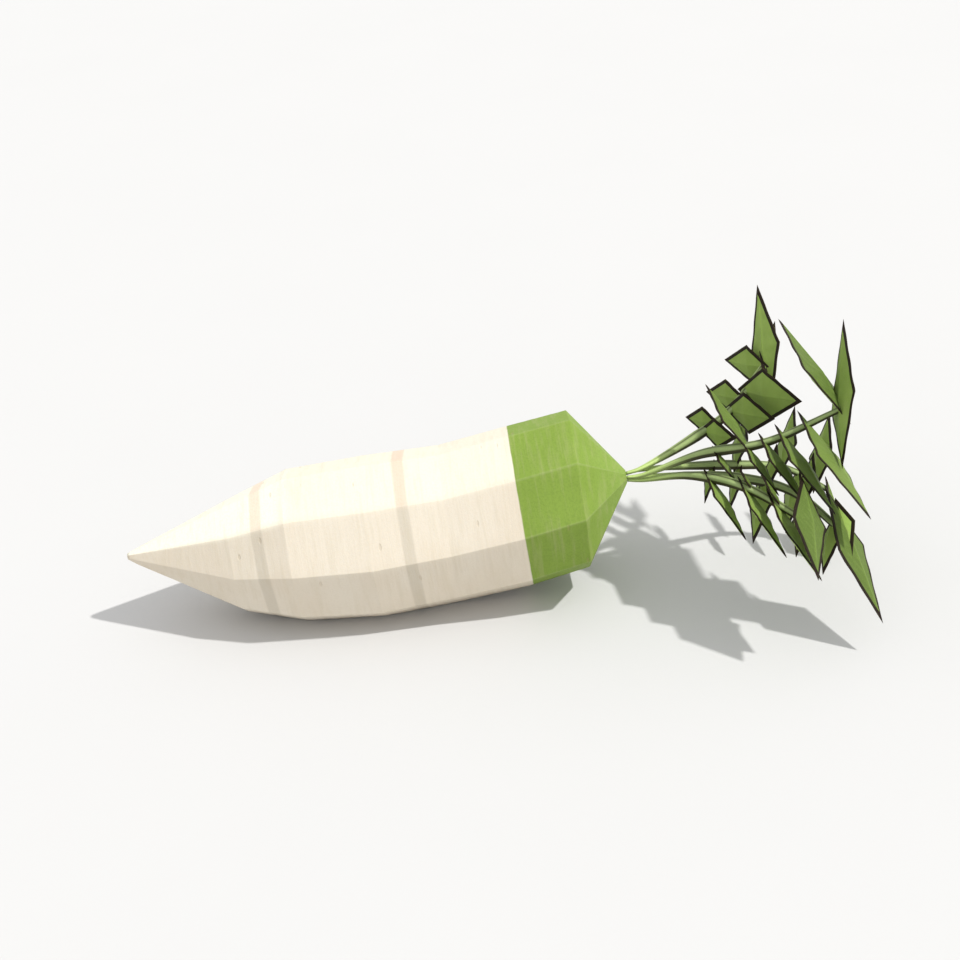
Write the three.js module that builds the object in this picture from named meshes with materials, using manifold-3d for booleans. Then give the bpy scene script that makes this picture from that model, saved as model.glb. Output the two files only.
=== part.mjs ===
// A whole daikon radish with its leaves, lying on its belly.
// Millimetres, +Z up. The root runs along +X from its thin tip to its crown and leaves.
// The origin is the middle of the small flat on the belly that the radish rests on.
import * as THREE from "three";
import { mergeVertices } from "three/addons/utils/BufferGeometryUtils.js";
import Module from "manifold-3d";

// The root: a nine-sided body whose sections stand square to the line from tip to crown.
// Each section gives its distance from the tip, how far its middle sags under that line,
// and its radius. ROOT_TURN takes the top corner towards -Y.
const ROOT_SIDES = 9;
const ROOT_SECTIONS = [
  { along: 0, sag: 1.8, radius: 1.7 },
  { along: 5, sag: 2.8, radius: 4.6 },
  { along: 56, sag: 11.1, radius: 30.7 },
  { along: 86, sag: 10.9, radius: 40.7 },
  { along: 126, sag: 12.8, radius: 43.3 },
  { along: 166, sag: 11.9, radius: 41.8 },
  { along: 202, sag: 8, radius: 42.6 },
  { along: 234, sag: 3.1, radius: 41.7 },
  { along: 259, sag: 0, radius: 3.4 },
];
const ROOT_TURN = THREE.MathUtils.degToRad(1.6);
const ROOT_TILT = THREE.MathUtils.degToRad(3.5);
const TIP_BEHIND_ORIGIN = 122;
const TIP_HEIGHT = 41.8;
// The block that cuts the small flat under the belly, its top at z = 0.
const CUT_BLOCK = [300, 120, 40];

// The leaf stalks: slim where they leave the crown, thickest a little before their middle.
const STALK_SIDES = 6;
const STALK_STEPS = 8;
const STALK_BASE_RADIUS = 0.95;
const STALK_RADIUS = 3.1;
const STALK_END_RADIUS = 1.6;
const STALK_SWELLS_BY = 0.45;
const STALK_RING_RADIUS = 1.9;
const STALK_STRAIGHT = 7;
const STALK_SPREAD = 0.16;
const CROWN_GAP = 0.3;

// The leaflets: folded blades with four corners, widest before their middle. A leaflet starts
// a little behind its stalk, and its width is a share of its length.
const LEAFLET_WIDEST_AT = 0.45;
const LEAFLET_SUNK = 0.14;
const LEAFLET_WIDTH = 0.6;
const LEAFLET_THICKNESS = 0.16;
const BLADE_MIN_THICKNESS = 1.6;

// The five leafy stalks. Route points are measured from the crown, and clock is the angle of
// the stalk's foot on the crown. The front leaflets point along side and the back ones against
// it, all of them flat along across. They stand at shares of the stalk's length, and their own
// lengths run evenly from the first to the last. The end blades start behind the stalk's end by
// their sunk share.
const FRONDS = [
  {
    name: "leaf_1",
    clock: 90,
    route: [[38, 14, 11], [56, 18, 21], [78, 28, 43]],
    side: [0.52, -0.82, 0.22],
    across: [0.09, -0.2, -0.97],
    front: { at: [0.5, 0.68, 0.81], lengths: [29, 48] },
    back: { at: [0.57, 0.76, 0.97], lengths: [28, 35] },
    blades: [
      { toward: [0.03, 0.72, 0.68], across: [-0.5, 0.61, -0.61], length: 66, width: 24, sunk: 0.35 },
      { toward: [0.33, 0.81, 0.48], across: [0.99, -0.06, -0.08], length: 37, width: 10, sunk: 0.3 },
    ],
  },
  {
    name: "leaf_2",
    clock: 162,
    route: [[36, -16, 18], [66, -30, 29], [102, -36, 47]],
    side: [0.38, -0.75, -0.54],
    across: [0.5, 0.64, -0.58],
    front: { at: [0.43, 0.57, 0.65, 0.73, 0.84], lengths: [25, 66] },
    back: { at: [0.57, 0.99], lengths: [46, 66] },
    blades: [
      { toward: [0.17, 0.74, 0.66], across: [-0.24, 0.67, -0.7], length: 78, width: 28, sunk: 0.4 },
    ],
  },
  {
    name: "leaf_3",
    clock: 18,
    route: [[57, 11, -6], [86, 17, -15], [107, 9, -26]],
    side: [-0.32, -0.56, -0.77],
    across: [-0.28, 0.83, -0.48],
    front: { at: [0.41, 0.54, 0.69, 0.84], lengths: [24, 38] },
    back: { at: [0.52, 0.76, 0.93], lengths: [34, 44] },
    blades: [
      { toward: [0.1, -0.72, -0.68], across: [0.44, 0.65, -0.62], length: 40, width: 20, sunk: 0.2 },
    ],
  },
  {
    name: "leaf_4",
    clock: 306,
    route: [[50, -12, 1], [78, -32, 1], [98, -62, -8]],
    side: [-0.3, -0.56, -0.77],
    across: [-0.35, 0.82, -0.46],
    front: { at: [0.58, 0.78, 0.93], lengths: [37, 30] },
    back: { at: [0.6, 0.77], lengths: [24, 28] },
    blades: [
      { toward: [0.25, -0.66, -0.7], across: [0.65, 0.65, -0.38], length: 72, width: 26, sunk: 0.35 },
      { toward: [0.04, -0.86, -0.51], across: [0.82, -0.2, 0.53], length: 35, width: 14, sunk: 0.58 },
    ],
  },
  {
    name: "leaf_5",
    clock: 234,
    route: [[29, -17, 7], [52, -43, 13], [77, -77, 10]],
    side: [0.35, -0.76, -0.55],
    across: [0.44, 0.65, -0.62],
    front: { at: [0.43, 0.63, 0.8], lengths: [44, 53] },
    back: { at: [0.68, 0.84], lengths: [15, 22] },
    blades: [
      { toward: [-0.02, -0.8, -0.6], across: [0.68, 0.43, -0.59], length: 53, width: 28, sunk: 0.45 },
    ],
  },
];

const skin = new THREE.MeshStandardMaterial({ color: 0xf3e9d2, roughness: 0.6, metalness: 0 });
const foliage = new THREE.MeshStandardMaterial({ color: 0x5f7a38, roughness: 0.7, metalness: 0 });

const wasm = await Module();
wasm.setup();

// A closed three.js geometry as a solid that can be joined and cut.
function solidFrom(geometry) {
  const bare = geometry.clone();
  bare.deleteAttribute("normal");
  bare.deleteAttribute("uv");
  const merged = mergeVertices(bare, 1e-4);
  const mesh = new wasm.Mesh({
    numProp: 3,
    vertProperties: new Float32Array(merged.attributes.position.array),
    triVerts: new Uint32Array(merged.index.array),
  });
  return new wasm.Manifold(mesh);
}

// A solid as a three.js geometry with flat facets.
function geometryFrom(solid) {
  const mesh = solid.getMesh();
  const geometry = new THREE.BufferGeometry();
  geometry.setAttribute("position", new THREE.BufferAttribute(mesh.vertProperties, 3));
  geometry.setIndex(new THREE.BufferAttribute(mesh.triVerts, 1));
  const faceted = geometry.toNonIndexed();
  faceted.computeVertexNormals();
  return faceted;
}

// A vector's unit vector, from three numbers.
function direction(numbers) {
  return new THREE.Vector3(...numbers).normalize();
}

// Turns each vertex of a lathe about Y into a point, from its height, across and up values.
function mapLathe(geometry, pointAt) {
  const position = geometry.attributes.position;
  for (let i = 0; i < position.count; i += 1) {
    const point = pointAt(position.getY(i), position.getX(i), position.getZ(i));
    position.setXYZ(i, point.x, point.y, point.z);
  }
  return geometry;
}

// The point at a distance along the line from tip to crown, and up and across from it.
function onRoot(along, across, up) {
  const x = along * Math.cos(ROOT_TILT) - up * Math.sin(ROOT_TILT);
  const z = along * Math.sin(ROOT_TILT) + up * Math.cos(ROOT_TILT);
  return new THREE.Vector3(x - TIP_BEHIND_ORIGIN, across, z + TIP_HEIGHT);
}

function sagAt(along) {
  const next = ROOT_SECTIONS.find((section) => section.along >= along - 1e-3);
  return next.sag;
}

function buildRoot() {
  const last = ROOT_SECTIONS[ROOT_SECTIONS.length - 1];
  const profile = ROOT_SECTIONS.map((section) => new THREE.Vector2(section.radius, section.along));
  profile.unshift(new THREE.Vector2(0, 0));
  profile.push(new THREE.Vector2(0, last.along));
  // A quarter turn puts a corner on top.
  const body = new THREE.LatheGeometry(profile, ROOT_SIDES, Math.PI / 2 + ROOT_TURN);
  mapLathe(body, (along, up, across) => onRoot(along, across, up - sagAt(along)));
  const below = new THREE.BoxGeometry(...CUT_BLOCK);
  below.translate(0, 0, -CUT_BLOCK[2] / 2);
  return geometryFrom(solidFrom(body).subtract(solidFrom(below)));
}

function stalkRadius(t) {
  if (t < STALK_SWELLS_BY) {
    return THREE.MathUtils.lerp(STALK_BASE_RADIUS, STALK_RADIUS, t / STALK_SWELLS_BY);
  }
  const rest = (t - STALK_SWELLS_BY) / (1 - STALK_SWELLS_BY);
  return THREE.MathUtils.lerp(STALK_RADIUS, STALK_END_RADIUS, rest);
}

// A tapered stalk: a lathe bent along the curve.
function buildStalk(curve) {
  const profile = [new THREE.Vector2(0, 0)];
  for (let i = 0; i <= STALK_STEPS; i += 1) {
    profile.push(new THREE.Vector2(stalkRadius(i / STALK_STEPS), i / STALK_STEPS));
  }
  profile.push(new THREE.Vector2(0, 1));
  const stalk = new THREE.LatheGeometry(profile, STALK_SIDES);
  return mapLathe(stalk, (t, up, across) => {
    const tangent = curve.getTangentAt(t);
    const sideways = new THREE.Vector3(0, 0, 1).cross(tangent).normalize();
    const upward = new THREE.Vector3().crossVectors(tangent, sideways);
    return curve.getPointAt(t).addScaledVector(upward, up).addScaledVector(sideways, across);
  });
}

// A folded four-cornered blade from start along toward, flat along across.
function buildBlade(start, toward, across, length, width) {
  const blade = new THREE.OctahedronGeometry(1);
  const square = across.clone().addScaledVector(toward, -across.dot(toward)).normalize();
  const through = new THREE.Vector3().crossVectors(toward, square);
  const thickness = Math.max(width * LEAFLET_THICKNESS, BLADE_MIN_THICKNESS) / 2;
  const widest = start.clone().addScaledVector(toward, length * LEAFLET_WIDEST_AT);
  const position = blade.attributes.position;
  for (let i = 0; i < position.count; i += 1) {
    const ahead = position.getX(i);
    const reach = ahead > 0 ? length * (1 - LEAFLET_WIDEST_AT) : length * LEAFLET_WIDEST_AT;
    const corner = widest
      .clone()
      .addScaledVector(toward, ahead * reach)
      .addScaledVector(square, (position.getY(i) * width) / 2)
      .addScaledVector(through, position.getZ(i) * thickness);
    position.setXYZ(i, corner.x, corner.y, corner.z);
  }
  return solidFrom(blade);
}

// A row of leaflets along one side of a stalk.
function buildRow(curve, row, toward, across) {
  const last = row.at.length - 1;
  return row.at.map((t, i) => {
    const length = THREE.MathUtils.lerp(...row.lengths, i / last);
    const start = curve.getPointAt(t).addScaledVector(toward, -LEAFLET_SUNK * length);
    return buildBlade(start, toward, across, length, length * LEAFLET_WIDTH);
  });
}

function buildFrond(frond) {
  const last = ROOT_SECTIONS[ROOT_SECTIONS.length - 1];
  const clock = THREE.MathUtils.degToRad(frond.clock);
  const crown = onRoot(last.along, 0, 0);
  const starts = [CROWN_GAP, STALK_STRAIGHT].map((ahead) => {
    const ring = STALK_RING_RADIUS + ahead * STALK_SPREAD;
    return onRoot(last.along + ahead, ring * Math.cos(clock), ring * Math.sin(clock));
  });
  const points = frond.route.map((numbers) => new THREE.Vector3(...numbers).add(crown));
  const curve = new THREE.CatmullRomCurve3([...starts, ...points]);
  const side = direction(frond.side);
  const across = direction(frond.across);
  const endBlades = frond.blades.map((blade) => {
    const toward = direction(blade.toward);
    const start = curve.getPointAt(1).addScaledVector(toward, -blade.sunk * blade.length);
    return buildBlade(start, toward, direction(blade.across), blade.length, blade.width);
  });
  const leaflets = [
    ...buildRow(curve, frond.front, side, across),
    ...buildRow(curve, frond.back, side.clone().negate(), across),
    ...endBlades,
  ];
  const stalk = solidFrom(buildStalk(curve));
  return geometryFrom(leaflets.reduce((joined, leaflet) => joined.add(leaflet), stalk));
}

function addPiece(group, name, geometry, material) {
  const mesh = new THREE.Mesh(geometry, material);
  mesh.name = name;
  group.add(mesh);
}

const radish = new THREE.Group();
addPiece(radish, "root", buildRoot(), skin);
for (const frond of FRONDS) {
  addPiece(radish, frond.name, buildFrond(frond), foliage);
}

export default radish;
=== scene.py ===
import math

import bpy
import numpy as np
from mathutils import Matrix, Vector


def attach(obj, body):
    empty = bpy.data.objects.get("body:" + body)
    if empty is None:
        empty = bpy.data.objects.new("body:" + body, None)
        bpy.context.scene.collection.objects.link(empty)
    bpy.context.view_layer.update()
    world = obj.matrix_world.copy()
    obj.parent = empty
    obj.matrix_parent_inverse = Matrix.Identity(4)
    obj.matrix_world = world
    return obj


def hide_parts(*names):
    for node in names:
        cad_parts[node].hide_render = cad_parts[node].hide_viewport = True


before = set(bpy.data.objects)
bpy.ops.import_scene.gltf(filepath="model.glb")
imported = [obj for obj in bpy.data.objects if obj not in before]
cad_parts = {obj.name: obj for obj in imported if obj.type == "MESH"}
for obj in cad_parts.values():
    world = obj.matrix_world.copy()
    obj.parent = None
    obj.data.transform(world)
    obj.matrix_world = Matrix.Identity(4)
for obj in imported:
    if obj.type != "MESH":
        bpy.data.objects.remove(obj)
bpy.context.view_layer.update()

MM = 0.001

# The root, in millimetres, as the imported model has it: distance from the tip, how far the
# middle sags under the line from tip to crown, and the radius of the nine-sided section.
# ROOT_TURN takes the top corner towards -Y.
ROOT_SIDES = 9
ROOT_SECTIONS = np.array([
    (0, 1.8, 1.7),
    (5, 2.8, 4.6),
    (56, 11.1, 30.7),
    (86, 10.9, 40.7),
    (126, 12.8, 43.3),
    (166, 11.9, 41.8),
    (202, 8, 42.6),
    (234, 3.1, 41.7),
    (259, 0, 3.4),
])
ROOT_LENGTH = ROOT_SECTIONS[-1, 0]
ROOT_TURN = math.radians(1.6)
ROOT_TILT = math.radians(3.5)
TIP_BEHIND_ORIGIN = 122.0
TIP_HEIGHT = 41.8

# Where the root's colours change, in millimetres from the tip. The green begins over twice
# GREEN_EDGE. A band keeps its full tint up to BAND_FULL_SHARE of its width from its middle, and
# ends at BAND_END_SHARE. MARKING_LEAN is how much nearer to the leaves these lines are at the
# root's mid-height than at its top.
# The root's top is painted paler still from the tip to SLIM_END, as painted light.
SLIM_END = (80.0, 90.0)
GREEN_FROM = 202.5
GREEN_EDGE = 0.35
PALER_FROM = GREEN_FROM + 34.0
BANDS_AT = (71.0, 145.0)
BAND_WIDTH = 6.0
BAND_FULL_SHARE = 0.38
BAND_END_SHARE = 0.6
MARKING_LEAN = 0.7

# The root's finer skin, in millimetres, apart from CORNER_SOFTNESS in radians and CORNER_WORN,
# a share of the radius. The wave's two rates are in radians a millimetre. Where the radius is
# over SMOOTH_UNDER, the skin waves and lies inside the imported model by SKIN_INSET.
ROOT_ROWS = 150
CORNER_SOFTNESS = 0.03
CORNER_WORN = 0.003
SKIN_WAVE = 0.05
SKIN_WAVE_FAST = 0.9
SKIN_WAVE_SLOW = 0.21
SKIN_INSET = 0.06
SMOOTH_UNDER = 12

# The stalks, in millimetres. STALK_SWELLS_BY is a share of the length.
STALK_SIDES = 6
STALK_BASE_RADIUS = 0.95
STALK_RADIUS = 3.1
STALK_END_RADIUS = 1.6
STALK_SWELLS_BY = 0.45
STALK_RING_RADIUS = 1.9
STALK_STRAIGHT = 7.0
STALK_SPREAD = 0.16
CROWN_GAP = 0.3

# The channel along a stalk's top and its underside, with painted shade. Angles are in radians from the
# top, the depth is a share of the radius and the full channel starts at a share of the length.
STALK_ROWS = 90
STALK_COLUMNS = 24
CHANNEL_ANGLE = 0.32
CHANNEL_DEPTH = 0.3
CHANNEL_FULL_FROM = 0.15
UNDERSIDE_FROM = 1.3
UNDERSIDE_FADE = 0.25

# The leaflets. The first four are shares of the length or width, the rest are in millimetres.
LEAFLET_WIDEST_AT = 0.45
LEAFLET_SUNK = 0.14
LEAFLET_WIDTH = 0.6
LEAFLET_THICKNESS = 0.16
BLADE_MIN_THICKNESS = 1.6
VEIN_SPACING = 3.4
MARGIN_WIDTH = 1.9
EDGE_HALF = 0.1

# Their relief. MIDRIB_HALF and both heights are in millimetres, the side vein's half width is a
# share of VEIN_SPACING, its lean and the ripple are shares of the width, and RIPPLE_TURNS is in
# radians along the whole leaflet.
MIDRIB_HALF = 0.5
MIDRIB_HEIGHT = 0.2
SIDE_VEIN_HALF = 0.13
SIDE_VEIN_HEIGHT = 0.06
SIDE_VEIN_LEAN = 0.45
RIPPLE = 0.01
RIPPLE_TURNS = 31

# Their colours. A side vein has SIDE_VEIN_TINT of the midrib's tint, and each leaflet's tone
# differs by up to TONE_SPREAD either way.
SIDE_VEIN_TINT = 0.6
TONE_SPREAD = 0.12

# The five leafy stalks, as in the imported model. clock is where a stalk leaves the crown, in
# degrees, 0 at +Y and 90 at the top. Route points are measured from the crown. Rows of leaflets
# sit at shares of the stalk's length, with the first and the last one's length. The front
# leaflets point along side and the back ones against it, flat along across. Blades sit at the
# stalk's end, and sunk is the share of a blade that lies behind that end. A row or a blade may
# be painted paler than the rest, as painted light.
FRONDS = {
    "leaf_1": dict(
        clock=90,
        route=((38, 14, 11), (56, 18, 21), (78, 28, 43)),
        side=(0.52, -0.82, 0.22),
        across=(0.09, -0.2, -0.97),
        front=dict(at=(0.5, 0.68, 0.81), lengths=(29, 48)),
        back=dict(at=(0.57, 0.76, 0.97), lengths=(28, 35)),
        blades=[
            dict(toward=(0.03, 0.72, 0.68), across=(-0.5, 0.61, -0.61), length=66, width=24, sunk=0.35),
            dict(toward=(0.33, 0.81, 0.48), across=(0.99, -0.06, -0.08), length=37, width=10, sunk=0.3),
        ],
    ),
    "leaf_2": dict(
        clock=162,
        route=((36, -16, 18), (66, -30, 29), (102, -36, 47)),
        side=(0.38, -0.75, -0.54),
        across=(0.5, 0.64, -0.58),
        front=dict(at=(0.43, 0.57, 0.65, 0.73, 0.84), lengths=(25, 66), painted_light=0.2),
        back=dict(at=(0.57, 0.99), lengths=(46, 66)),
        blades=[
            dict(toward=(0.17, 0.74, 0.66), across=(-0.24, 0.67, -0.7), length=78, width=28, sunk=0.4),
        ],
    ),
    "leaf_3": dict(
        clock=18,
        route=((57, 11, -6), (86, 17, -15), (107, 9, -26)),
        side=(-0.32, -0.56, -0.77),
        across=(-0.28, 0.83, -0.48),
        front=dict(at=(0.41, 0.54, 0.69, 0.84), lengths=(24, 38)),
        back=dict(at=(0.52, 0.76, 0.93), lengths=(34, 44)),
        blades=[
            dict(toward=(0.1, -0.72, -0.68), across=(0.44, 0.65, -0.62), length=40, width=20, sunk=0.2),
        ],
    ),
    "leaf_4": dict(
        clock=306,
        route=((50, -12, 1), (78, -32, 1), (98, -62, -8)),
        side=(-0.3, -0.56, -0.77),
        across=(-0.35, 0.82, -0.46),
        front=dict(at=(0.58, 0.78, 0.93), lengths=(37, 30)),
        back=dict(at=(0.6, 0.77), lengths=(24, 28)),
        blades=[
            dict(toward=(0.25, -0.66, -0.7), across=(0.65, 0.65, -0.38), length=72, width=26, sunk=0.35),
            dict(
                toward=(0.04, -0.86, -0.51),
                across=(0.82, -0.2, 0.53),
                length=35,
                width=14,
                sunk=0.58,
                painted_light=1.0,
            ),
        ],
    ),
    "leaf_5": dict(
        clock=234,
        route=((29, -17, 7), (52, -43, 13), (77, -77, 10)),
        side=(0.35, -0.76, -0.55),
        across=(0.44, 0.65, -0.62),
        front=dict(at=(0.43, 0.63, 0.8), lengths=(44, 53), painted_light=0.6),
        back=dict(at=(0.68, 0.84), lengths=(15, 22)),
        blades=[
            dict(toward=(-0.02, -0.8, -0.6), across=(0.68, 0.43, -0.59), length=53, width=28, sunk=0.45),
        ],
    ),
}

# The camera, from the photograph's viewing angle. Its place is in metres.
CAMERA_PLACE = Vector((0.0491, -0.7914, 0.5245))
CAMERA_AZIMUTH = math.radians(-0.93)
CAMERA_ELEVATION = math.radians(30.18)
CAMERA_ROLL = math.radians(-5.31)
SENSOR_MM = 36.0
LENS_MM = 67.5

# The light, and the floor in metres. The floor is just under z = 0, clear of the belly's flat.
SUN_TRAVEL = (-0.63, 0.21, -0.95)
SUN_STRENGTH = 2.8
SUN_COLOR = (1.0, 0.985, 0.955)
SUN_SOFTNESS = math.radians(2)
WORLD_STRENGTH = 0.88
FLOOR_SIZE = 6.0
FLOOR_DROP = 0.0002
FLOOR_GREYS = (0.585, 0.595)

rng = np.random.default_rng(11)


def unit(v):
    v = np.asarray(v, float)
    return v / np.linalg.norm(v)


def on_root(along, across, up):
    """Points in millimetres, from distances along, across and above the line from tip to crown."""
    along, across, up = np.broadcast_arrays(along, across, up)
    x = along * math.cos(ROOT_TILT) - up * math.sin(ROOT_TILT) - TIP_BEHIND_ORIGIN
    z = along * math.sin(ROOT_TILT) + up * math.cos(ROOT_TILT) + TIP_HEIGHT
    return np.stack([x, across.astype(float), z], axis=-1)


def mesh_object(name, points, faces, attributes, material):
    """A smooth mesh object from points in millimetres, with float attributes on its points."""
    mesh = bpy.data.meshes.new(name)
    mesh.from_pydata((np.asarray(points) * MM).tolist(), [], faces)
    for key, values in attributes.items():
        layer = mesh.attributes.new(key, "FLOAT", "POINT")
        layer.data.foreach_set("value", np.asarray(values, np.float32))
    mesh.polygons.foreach_set("use_smooth", [True] * len(mesh.polygons))
    mesh.update()
    mesh.materials.append(material)
    obj = bpy.data.objects.new(name, mesh)
    bpy.context.scene.collection.objects.link(obj)
    return obj


def tube_faces(rows, columns):
    """Quads between neighbouring rings of points, then triangles that close both ends.

    The points are the rings, one after the other, then the first and the last centre point.
    """
    faces = []
    for r in range(rows - 1):
        for c in range(columns):
            d = (c + 1) % columns
            a = r * columns
            b = a + columns
            faces.append((a + c, b + c, b + d, a + d))
    first = rows * columns
    last_ring = first - columns
    for c in range(columns):
        d = (c + 1) % columns
        faces.append((c, d, first))
        faces.append((last_ring + d, last_ring + c, first + 1))
    return faces


def polygon_share(from_corner, sides):
    """A regular polygon's radius as a share of its corner radius, by the angle from a corner."""
    half_side = math.pi / sides
    return math.cos(half_side) / np.cos(half_side - np.abs(from_corner))


class Curve:
    """A centripetal Catmull-Rom curve through points, read by its share of the length."""

    SAMPLES = 400
    TANGENT_STEP = 0.004

    def __init__(self, points):
        p = np.array(points, float)
        p = np.vstack([2 * p[0] - p[1], p, 2 * p[-1] - p[-2]])
        rows = []
        for i in range(1, len(p) - 2):
            knots = np.sqrt([np.linalg.norm(p[i + k] - p[i + k - 1]) for k in (0, 1, 2)])
            before, here, after = knots
            q0, q1, q2, q3 = p[i - 1:i + 3]
            t1 = (q1 - q0) / before - (q2 - q0) / (before + here) + (q2 - q1) / here
            t2 = (q2 - q1) / here - (q3 - q1) / (here + after) + (q3 - q2) / after
            t1 *= here
            t2 *= here
            t = np.linspace(0, 1, self.SAMPLES, endpoint=(i == len(p) - 3))[:, None]
            rows.append(
                q1 + t1 * t
                + (-3 * q1 + 3 * q2 - 2 * t1 - t2) * t ** 2
                + (2 * q1 - 2 * q2 + t1 + t2) * t ** 3
            )
        self.points = np.vstack(rows)
        steps = np.linalg.norm(np.diff(self.points, axis=0), axis=1)
        self.lengths = np.concatenate([[0], np.cumsum(steps)])

    def at(self, share):
        wanted = np.asarray(share, float) * self.lengths[-1]
        return np.stack([np.interp(wanted, self.lengths, self.points[:, k]) for k in range(3)], -1)

    def tangent(self, share):
        low = max(share - self.TANGENT_STEP, 0)
        high = min(share + self.TANGENT_STEP, 1)
        return unit(self.at(high) - self.at(low))


# Materials

class Nodes:
    """A material's node tree, with short calls for the nodes used here."""

    def __init__(self, name):
        self.material = bpy.data.materials.new(name)
        self.material.use_nodes = True
        self.tree = self.material.node_tree
        self.shader = self.tree.nodes["Principled BSDF"]

    def fill(self, socket, value):
        """Link the socket to another node's output, or give it a plain value."""
        if isinstance(value, bpy.types.NodeSocket):
            self.tree.links.new(value, socket)
        else:
            socket.default_value = value

    def add(self, kind, inputs=None, **settings):
        node = self.tree.nodes.new(kind)
        for key, value in settings.items():
            setattr(node, key, value)
        for key, value in (inputs or {}).items():
            self.fill(node.inputs[key], value)
        return node

    def math(self, operation, a, b=0.0, c=0.0):
        return self.add("ShaderNodeMath", {0: a, 1: b, 2: c}, operation=operation).outputs[0]

    def rest(self, share):
        """What is left of 1."""
        return self.math("SUBTRACT", 1.0, share)

    def attribute(self, name):
        return self.add("ShaderNodeAttribute", attribute_name=name).outputs["Fac"]

    def noise(self, scale, detail=4.0, vector=None):
        place = vector or self.add("ShaderNodeTexCoord").outputs["Object"]
        inputs = {"Scale": scale, "Detail": detail, "Roughness": 0.55, "Vector": place}
        return self.add("ShaderNodeTexNoise", inputs).outputs["Fac"]

    def stretched(self, along, around, along_scale, around_scale):
        """A texture place that runs along the root in millimetres and closes round it."""
        ring = self.add("ShaderNodeVectorMath", {0: around, 3: around_scale}, operation="SCALE")
        line = self.add("ShaderNodeCombineXYZ", {0: self.math("MULTIPLY", along, along_scale)})
        both = {0: ring.outputs[0], 1: line.outputs[0]}
        return self.add("ShaderNodeVectorMath", both, operation="ADD").outputs[0]

    def band(self, value, low, high):
        """0 below low, 1 above high, smooth between."""
        node = self.add("ShaderNodeMapRange", {0: value, 1: low, 2: high, 3: 0.0, 4: 1.0})
        node.interpolation_type = "SMOOTHSTEP"
        return node.outputs[0]

    def mix(self, factor, a, b, mode="MIX"):
        inputs = {0: factor, 6: a, 7: b}
        return self.add("ShaderNodeMix", inputs, data_type="RGBA", blend_type=mode).outputs[2]

    def tinted(self, color, mask, share, tint):
        """The colour, with a share of the tint where the mask is 1."""
        return self.mix(self.math("MULTIPLY", mask, share), color, tint)

    def wander(self, noise, least, spread):
        """A value that goes from least to least + spread with the noise."""
        return self.math("MULTIPLY_ADD", noise, spread, least)

    def bump(self, height, strength, distance, normal=None):
        inputs = {"Height": height, "Strength": strength, "Distance": distance}
        if normal is not None:
            inputs["Normal"] = normal
        return self.add("ShaderNodeBump", inputs).outputs["Normal"]

    def glow(self, weight, radius):
        """Light that goes in and comes out again, by its weight and its reach in metres."""
        self.shader.inputs["Subsurface Weight"].default_value = weight
        self.shader.inputs["Subsurface Radius"].default_value = radius
        self.shader.inputs["Subsurface Scale"].default_value = 1.0

    def shine(self, level):
        self.shader.inputs["Specular IOR Level"].default_value = level

    def finish(self, color, roughness, normal):
        self.fill(self.shader.inputs["Base Color"], color)
        self.fill(self.shader.inputs["Roughness"], roughness)
        self.fill(self.shader.inputs["Normal"], normal)
        return self.material


def srgb(red, green, blue):
    """A colour given as 0 to 255 values, as the linear values that nodes use."""
    def linear(v):
        v = v / 255
        return v / 12.92 if v <= 0.04045 else ((v + 0.055) / 1.055) ** 2.4
    return (linear(red), linear(green), linear(blue), 1.0)


def skin_colors(n, along, round_z, fine, edge):
    """The skin's main colours: white with two bands and painted light on top, then the green shoulder."""
    cloudy = n.band(n.noise(22.0, 3.0), 0.35, 0.7)
    white = n.mix(cloudy, srgb(220, 211, 195), srgb(216, 205, 187))
    # Painted light: the root's top is painted paler, and more so at the slim end, where light falls.
    painted_top_light = n.band(round_z, 0.7, 0.82)
    white = n.tinted(white, painted_top_light, 0.7, srgb(228, 223, 206))
    slim_end = n.rest(n.band(along, *SLIM_END))
    white = n.tinted(white, painted_top_light, slim_end, srgb(239, 235, 218))
    white = n.tinted(white, fine, 0.12, srgb(204, 191, 168))
    # On the top the bands' tint is warmer and paler, as part of the painted light there.
    lower_tint = (0.85, 0.85, 0.84, 1)
    lit_top_band_tint = (0.93, 0.82, 0.79, 1)
    tint = n.mix(painted_top_light, lower_tint, lit_top_band_tint)
    for middle in BANDS_AT:
        away = n.math("ABSOLUTE", n.math("SUBTRACT", edge, middle))
        inside = n.rest(n.band(away, BAND_WIDTH * BAND_FULL_SHARE, BAND_WIDTH * BAND_END_SHARE))
        white = n.mix(inside, white, tint, "MULTIPLY")

    leafy = n.mix(cloudy, srgb(131, 156, 70), srgb(125, 149, 66))
    near_crown = n.band(along, PALER_FROM, ROOT_LENGTH)
    leafy = n.tinted(leafy, near_crown, 0.35, srgb(150, 174, 98))
    leafy = n.tinted(leafy, fine, 0.22, srgb(104, 128, 58))
    green = n.band(edge, GREEN_FROM - GREEN_EDGE, GREEN_FROM + GREEN_EDGE)
    return n.mix(green, white, leafy)


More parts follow.
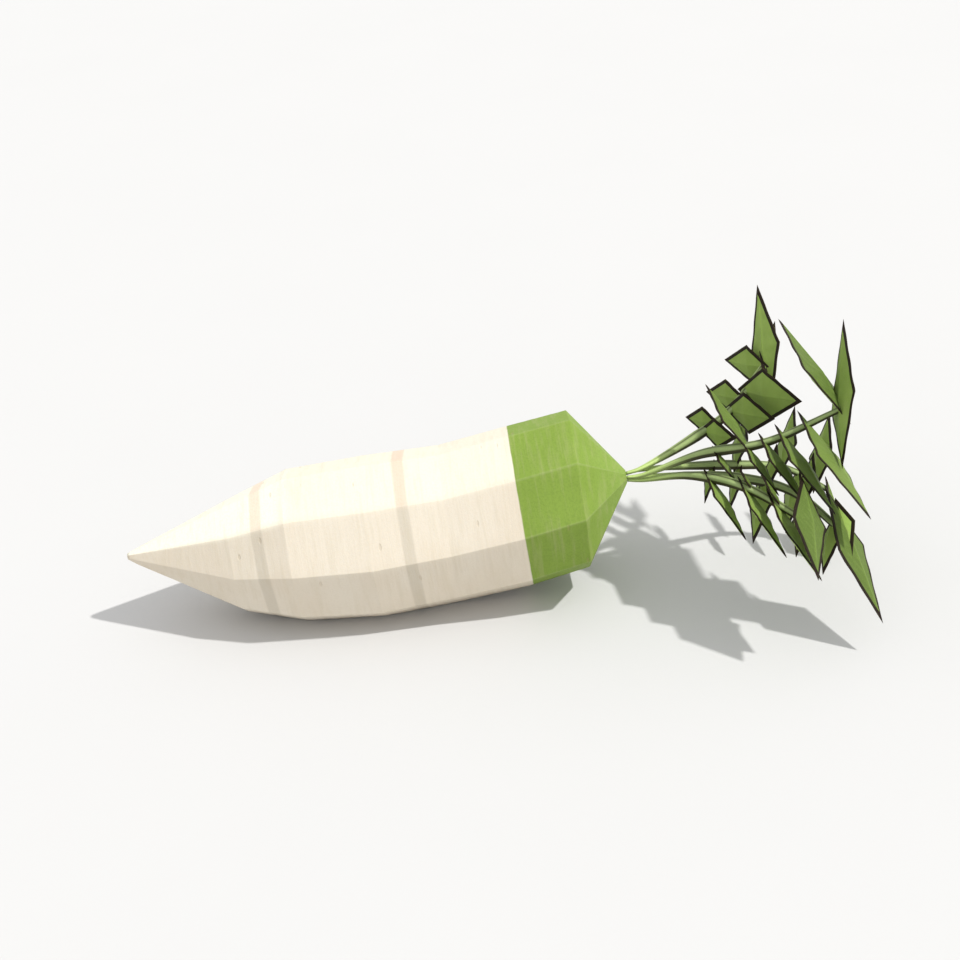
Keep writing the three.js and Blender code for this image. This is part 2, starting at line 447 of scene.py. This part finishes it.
def skin_material():
    n = Nodes("daikon_skin")
    along = n.attribute("along")
    round_z = n.attribute("round_z")
    around = n.add("ShaderNodeCombineXYZ", {1: n.attribute("round_y"), 2: round_z}).outputs[0]
    drift = n.math("MULTIPLY", n.math("SUBTRACT", n.noise(60.0, 3.0), 0.5), 0.8)
    lean = n.math("MULTIPLY_ADD", round_z, MARKING_LEAN, -MARKING_LEAN)
    edge = n.math("ADD", n.math("ADD", along, drift), lean)
    fine = n.band(n.noise(900.0, 2.0), 0.45, 0.62)
    color = skin_colors(n, along, round_z, fine, edge)

    # Faint rings round the root, and sparse short marks that lie along them.
    rings = n.noise(1.0, vector=n.stretched(along, around, 0.45, 1.6))
    color = n.tinted(color, n.band(rings, 0.46, 0.7), 0.14, srgb(188, 176, 146))
    spread = {"Vector": n.stretched(along, around, 0.11, 1.7), "Scale": 1.0}
    cells = n.add("ShaderNodeTexVoronoi", spread).outputs["Distance"]
    marks = n.rest(n.band(cells, 0.05, 0.1))
    color = n.tinted(color, marks, 0.2, srgb(168, 148, 112))
    # A painted highlight: a pale line along each corner of the root.
    corner_highlight = n.band(n.attribute("facet"), 0.5, 1.0)
    color = n.tinted(color, corner_highlight, 0.05, srgb(238, 230, 206))

    rough = n.wander(n.noise(140.0), 0.45, 0.22)
    dents = n.bump(n.rest(marks), 0.5, 0.0004)
    folds = n.bump(rings, 0.22, 0.0008, dents)
    pores = n.bump(n.noise(1400.0, 2.0), 0.25, 0.0003, folds)
    n.glow(0.04, (0.004, 0.003, 0.002))
    n.shine(0.04)
    return n.finish(color, rough, pores)


def stalk_material():
    n = Nodes("daikon_stalk")
    streak = n.band(n.noise(70.0), 0.35, 0.7)
    color = n.mix(streak, srgb(156, 175, 116), srgb(141, 160, 104))
    # Painted light: the foot is painted paler, as lit, and the rest keeps a darker green, as painted shade
    # from the leaves.
    painted_lit_foot = n.rest(n.band(n.attribute("along"), 0.1, 0.36))
    color = n.tinted(color, painted_lit_foot, 0.8, srgb(202, 225, 142))
    fibre = n.band(n.noise(1100.0, 3.0), 0.45, 0.65)
    color = n.tinted(color, fibre, 0.15, srgb(112, 130, 70))
    # The painted shade in the channel and on the underside is lighter at the stalk's foot.
    groove_shade = n.math("MULTIPLY_ADD", painted_lit_foot, -0.5, 0.85)
    under_shade = n.math("MULTIPLY_ADD", painted_lit_foot, -0.4, 0.92)
    color = n.tinted(color, n.attribute("channel_painted_shade"), groove_shade, srgb(50, 44, 28))
    color = n.tinted(color, n.attribute("under"), under_shade, srgb(44, 36, 24))
    rough = n.wander(n.noise(200.0), 0.42, 0.25)
    normal = n.bump(n.noise(900.0, 3.0), 0.3, 0.0003)
    n.shine(0.15)
    return n.finish(color, rough, normal)


def leaflet_material():
    n = Nodes("daikon_leaflet")
    cloudy = n.band(n.noise(90.0), 0.3, 0.7)
    # The tone is partly random and partly painted light: faces turned from the sun and rows painted paler
    # get the paler green.
    tone_with_painted_light = n.attribute("tone_with_painted_light")
    green = n.mix(n.band(tone_with_painted_light, -0.1, 1.1), srgb(88, 107, 49), srgb(144, 168, 86))
    green = n.tinted(green, cloudy, 0.24, srgb(90, 112, 48))
    green = n.mix(n.band(tone_with_painted_light, 1.2, 1.8), green, srgb(172, 200, 105))
    speck = n.band(n.noise(1500.0, 2.0), 0.5, 0.66)
    green = n.tinted(green, speck, 0.12, srgb(134, 158, 78))
    green = n.tinted(green, n.attribute("vein"), 0.3, srgb(134, 158, 80))
    rim = n.band(n.attribute("margin"), 0.0, 0.12)
    green = n.mix(rim, green, srgb(36, 27, 20))
    rough = n.wander(n.noise(240.0), 0.5, 0.25)
    normal = n.bump(n.noise(700.0), 0.35, 0.0004)
    n.glow(0.35, (0.0016, 0.002, 0.0008))
    n.shine(0.12)
    return n.finish(green, rough, normal)


# The root

def build_root(material):
    """The root's finer skin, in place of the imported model's root."""
    # Rows are closer together at the sections and columns at the corners, so both stay crisp.
    steps = np.linspace(0, ROOT_LENGTH, ROOT_ROWS)
    close = (ROOT_SECTIONS[1:-1, 0][:, None] + np.array([-1.0, -0.35, 0, 0.35, 1.0])).reshape(-1)
    along = np.unique(np.concatenate([steps, close]))
    sag = np.interp(along, ROOT_SECTIONS[:, 0], ROOT_SECTIONS[:, 1])
    radius = np.interp(along, ROOT_SECTIONS[:, 0], ROOT_SECTIONS[:, 2])
    side = 2 * math.pi / ROOT_SIDES
    spread = np.array([0, 0.012, 0.03, 0.08, 0.18, 0.33, 0.5, 0.67, 0.82, 0.92, 0.97, 0.988])
    from_first = ((np.arange(ROOT_SIDES)[:, None] + spread) * side).reshape(-1)
    angle = from_first - ROOT_TURN
    from_corner = np.mod(from_first + side / 2, side) - side / 2
    facet = np.exp(-(from_corner / CORNER_SOFTNESS) ** 2)
    shape = polygon_share(from_corner, ROOT_SIDES) * (1 - CORNER_WORN * facet)
    a = along[:, None]
    turned = angle[None, :]
    fast = np.sin(a * SKIN_WAVE_FAST + 3 * np.sin(turned * 2))
    wave = SKIN_WAVE * fast * np.sin(a * SKIN_WAVE_SLOW + turned)
    uneven = (wave - SKIN_INSET) * (radius[:, None] > SMOOTH_UNDER)
    r = radius[:, None] * shape[None, :] + uneven
    points = on_root(a, np.sin(turned) * r, np.cos(turned) * r - sag[:, None])
    points[..., 2] = np.maximum(points[..., 2], 0)
    rows, columns = r.shape
    ends = on_root(np.array([0, ROOT_LENGTH]), 0.0, -sag[[0, -1]])
    body = np.vstack([points.reshape(-1, 3), ends])
    values = {
        "along": np.concatenate([np.repeat(along, columns), [0, ROOT_LENGTH]]),
        "facet": np.concatenate([np.tile(facet, rows), [0, 0]]),
        "round_y": np.concatenate([np.tile(np.sin(angle), rows), [0, 0]]),
        "round_z": np.concatenate([np.tile(np.cos(angle), rows), [1, 1]]),
    }
    root = mesh_object("root_skin", body, tube_faces(rows, columns), values, material)
    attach(root, "root")
    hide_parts("root")


# The leafy stalks

def stalk_radius(t):
    return np.interp(t, (0, STALK_SWELLS_BY, 1), (STALK_BASE_RADIUS, STALK_RADIUS, STALK_END_RADIUS))


def build_stalk(name, curve, material):
    """A six-sided stalk with a channel along its top, with painted shade there and underneath."""
    rows, columns = STALK_ROWS, STALK_COLUMNS
    angle = np.arange(columns) / columns * 2 * math.pi
    side = 2 * math.pi / STALK_SIDES
    from_corner = np.mod(angle + side / 2, side) - side / 2
    from_top = np.mod(angle + math.pi, 2 * math.pi) - math.pi
    channel = np.exp(-(from_top / CHANNEL_ANGLE) ** 2)
    under = np.clip((np.abs(from_top) - UNDERSIDE_FROM) / UNDERSIDE_FADE, 0, 1)
    points, along = [], []
    for t in np.linspace(0, 1, rows):
        tangent = curve.tangent(t)
        sideways = unit(np.cross((0, 0, 1), tangent))
        upward = np.cross(tangent, sideways)
        carved = 1 - CHANNEL_DEPTH * channel * np.interp(t, (0, CHANNEL_FULL_FROM), (0, 1))
        r = stalk_radius(t) * polygon_share(from_corner, STALK_SIDES) * carved
        ring = curve.at(t) + np.outer(np.cos(angle) * r, upward) + np.outer(np.sin(angle) * r, sideways)
        points.append(ring)
        along.append(np.full(columns, t))
    body = np.vstack(points + [curve.at(0)[None, :], curve.at(1)[None, :]])
    values = {
        "along": np.concatenate(along + [[0, 1]]),
        "channel_painted_shade": np.concatenate([np.tile(channel, rows), [0, 0]]),
        "under": np.concatenate([np.tile(under, rows), [0, 0]]),
    }
    return mesh_object(name, body, tube_faces(rows, columns), values, material)


def leaflet(start, toward, across, length, width, painted_light):
    """Points, faces and attributes of one folded four-cornered leaflet with its veins."""
    square = unit(across - toward * (across @ toward))
    through = np.cross(toward, square)
    thickness = max(width * LEAFLET_THICKNESS, BLADE_MIN_THICKNESS) / 2
    # Rows and columns are closer together at the folds. Each tip is a single point.
    folded = LEAFLET_WIDEST_AT + np.array([-0.02, 0, 0.02])
    u = np.concatenate([np.linspace(0, 0.4, 14)[1:], folded, np.linspace(0.5, 1, 17)[:-1]])[:, None]
    half = np.array([0.025, 0.1, 0.22, 0.36, 0.5, 0.64, 0.76, 0.86, 0.94, 1])
    v = np.concatenate([-half[::-1], [0], half])[None, :]
    rows, columns = u.shape[0], v.shape[1]
    out = np.abs(v)
    reach = np.where(u < LEAFLET_WIDEST_AT, u / LEAFLET_WIDEST_AT, (1 - u) / (1 - LEAFLET_WIDEST_AT))

    # Side veins end before the edge and the tips, and the midrib only before the tips.
    slant = (u * length - out * reach * width * SIDE_VEIN_LEAN) / VEIN_SPACING
    side_vein = np.exp(-((slant - np.round(slant)) / SIDE_VEIN_HALF) ** 2)
    side_vein = side_vein * (out < 0.9) * (reach > 0.12) * (1 - out) ** 0.35
    midrib = np.exp(-(v * reach * width / 2 / MIDRIB_HALF) ** 2) * (reach > 0.02)
    relief = MIDRIB_HEIGHT * midrib + SIDE_VEIN_HEIGHT * side_vein * (1 - midrib)
    ripple = RIPPLE * width * np.sin(u * RIPPLE_TURNS + rng.uniform(0, 6)) * out ** 3 * reach

    sheet = start + (toward * length) * u[..., None]
    sheet = sheet + square * (v * reach * (width / 2 - 2 * EDGE_HALF))[..., None]
    sheet = sheet + through * ripple[..., None]
    # The edge gets its full thickness a sixth of the way from each tip to the widest place.
    edge = EDGE_HALF * np.minimum(1, reach * 6)
    deep = thickness * (reach * (1 - out)) + relief + edge
    top = sheet + through * deep[..., None]
    bottom = sheet - through * deep[..., None]
    rings = np.concatenate([top, bottom[:, ::-1]], axis=1)
    tips = np.stack([start, start + toward * length])
    points = np.vstack([rings.reshape(-1, 3), tips])

    # How far inside the dark margin, in millimetres, measured square to the leaflet's edge.
    toward_tip = np.where(u < LEAFLET_WIDEST_AT, LEAFLET_WIDEST_AT, 1 - LEAFLET_WIDEST_AT) * length
    lean = toward_tip / np.hypot(toward_tip, width / 2)
    margin = MARGIN_WIDTH - (1 - out) * reach * width / 2 * lean
    vein = np.maximum(midrib, side_vein * SIDE_VEIN_TINT)
    # Painted light: the face turned to the sun is painted darker and the other face paler, evening out the
    # sun's shading.
    lit = -through @ unit(SUN_TRAVEL)
    by_face = np.repeat([max(lit, 0), max(-lit, 0)], columns)
    tone_with_painted_light = 1 - by_face + rng.uniform(-TONE_SPREAD, TONE_SPREAD) + painted_light
    values = {
        "vein": np.append(np.hstack([vein, vein[:, ::-1]]), [0, 0]),
        "margin": np.append(np.hstack([margin, margin[:, ::-1]]), [MARGIN_WIDTH, MARGIN_WIDTH]),
        "tone_with_painted_light": np.append(np.tile(tone_with_painted_light, rows), [tone_with_painted_light[0], tone_with_painted_light[0]]),
    }
    return points, tube_faces(rows, 2 * columns), values


def frond_curve(frond):
    """The stalk's middle line, straight out of the crown and then along its route."""
    clock = math.radians(frond["clock"])
    crown = on_root(ROOT_LENGTH, 0.0, 0.0)
    starts = []
    for ahead in (CROWN_GAP, STALK_STRAIGHT):
        ring = STALK_RING_RADIUS + ahead * STALK_SPREAD
        starts.append(on_root(ROOT_LENGTH + ahead, ring * math.cos(clock), ring * math.sin(clock)))
    return Curve(starts + [crown + np.array(p) for p in frond["route"]])


def frond_leaflets(frond, curve):
    """Each leaflet's start, direction, flat direction, length and width, and how much paler it is painted,
    as painted light.
    """
    across = unit(frond["across"])
    for row, toward in ((frond["front"], unit(frond["side"])), (frond["back"], -unit(frond["side"]))):
        for t, share in zip(row["at"], np.linspace(0, 1, len(row["at"]))):
            length = row["lengths"][0] + (row["lengths"][1] - row["lengths"][0]) * share
            start = curve.at(t) - toward * LEAFLET_SUNK * length
            yield start, toward, across, length, length * LEAFLET_WIDTH, row.get("painted_light", 0.0)
    for blade in frond["blades"]:
        toward = unit(blade["toward"])
        start = curve.at(1) - toward * blade["sunk"] * blade["length"]
        yield start, toward, unit(blade["across"]), blade["length"], blade["width"], blade.get("painted_light", 0.0)


def build_frond(name, frond, stalk_look, leaflet_look):
    """A stalk, and all its leaflets in one piece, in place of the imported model's leaf."""
    curve = frond_curve(frond)
    stalk = build_stalk(name + "_stalk", curve, stalk_look)
    points, faces, values = [], [], {"vein": [], "margin": [], "tone_with_painted_light": []}
    count = 0
    for placed in frond_leaflets(frond, curve):
        own_points, own_faces, own_values = leaflet(*placed)
        points.append(own_points)
        faces += [tuple(i + count for i in face) for face in own_faces]
        count += len(own_points)
        for key in values:
            values[key].append(own_values[key])
    joined = {key: np.concatenate(parts) for key, parts in values.items()}
    blades = mesh_object(name + "_leaflets", np.vstack(points), faces, joined, leaflet_look)
    for piece in (stalk, blades):
        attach(piece, "root")
        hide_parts(name)


# Floor, light and camera

def build_floor():
    bpy.ops.mesh.primitive_plane_add(size=FLOOR_SIZE, location=(0, 0, -FLOOR_DROP))
    floor = bpy.context.object
    floor.name = "floor"
    n = Nodes("floor")
    darker, paler = [(grey, grey, grey, 1) for grey in FLOOR_GREYS]
    color = n.mix(n.noise(8.0, 2.0), darker, paler)
    rough = n.wander(n.noise(40.0), 0.85, 0.1)
    normal = n.bump(n.noise(300.0), 0.05, 0.0005)
    floor.data.materials.append(n.finish(color, rough, normal))


def build_lights():
    world = bpy.data.worlds.new("studio")
    world.use_nodes = True
    background = world.node_tree.nodes["Background"]
    background.inputs["Color"].default_value = (1, 1, 1, 1)
    background.inputs["Strength"].default_value = WORLD_STRENGTH
    bpy.context.scene.world = world
    sun = bpy.data.lights.new("key", "SUN")
    sun.energy = SUN_STRENGTH
    sun.angle = SUN_SOFTNESS
    sun.color = SUN_COLOR
    lamp = bpy.data.objects.new("key", sun)
    lamp.rotation_euler = Vector(SUN_TRAVEL).to_track_quat("-Z", "Y").to_euler()
    bpy.context.scene.collection.objects.link(lamp)


def build_camera():
    data = bpy.data.cameras.new("camera")
    data.sensor_width = SENSOR_MM
    data.lens = LENS_MM
    data.clip_start = 0.01
    camera = bpy.data.objects.new("camera", data)
    bpy.context.scene.collection.objects.link(camera)
    level = Matrix.Rotation(math.pi / 2 - CAMERA_ELEVATION, 4, "X")
    heading = Matrix.Rotation(CAMERA_AZIMUTH, 4, "Z")
    roll = Matrix.Rotation(CAMERA_ROLL, 4, "Z")
    camera.matrix_world = Matrix.Translation(CAMERA_PLACE) @ heading @ level @ roll
    bpy.context.scene.camera = camera


bpy.context.scene.view_settings.view_transform = "Standard"
build_camera()
build_lights()
build_floor()
build_root(skin_material())
stalk_look = stalk_material()
leaflet_look = leaflet_material()
for name, frond in FRONDS.items():
    build_frond(name, frond, stalk_look, leaflet_look)
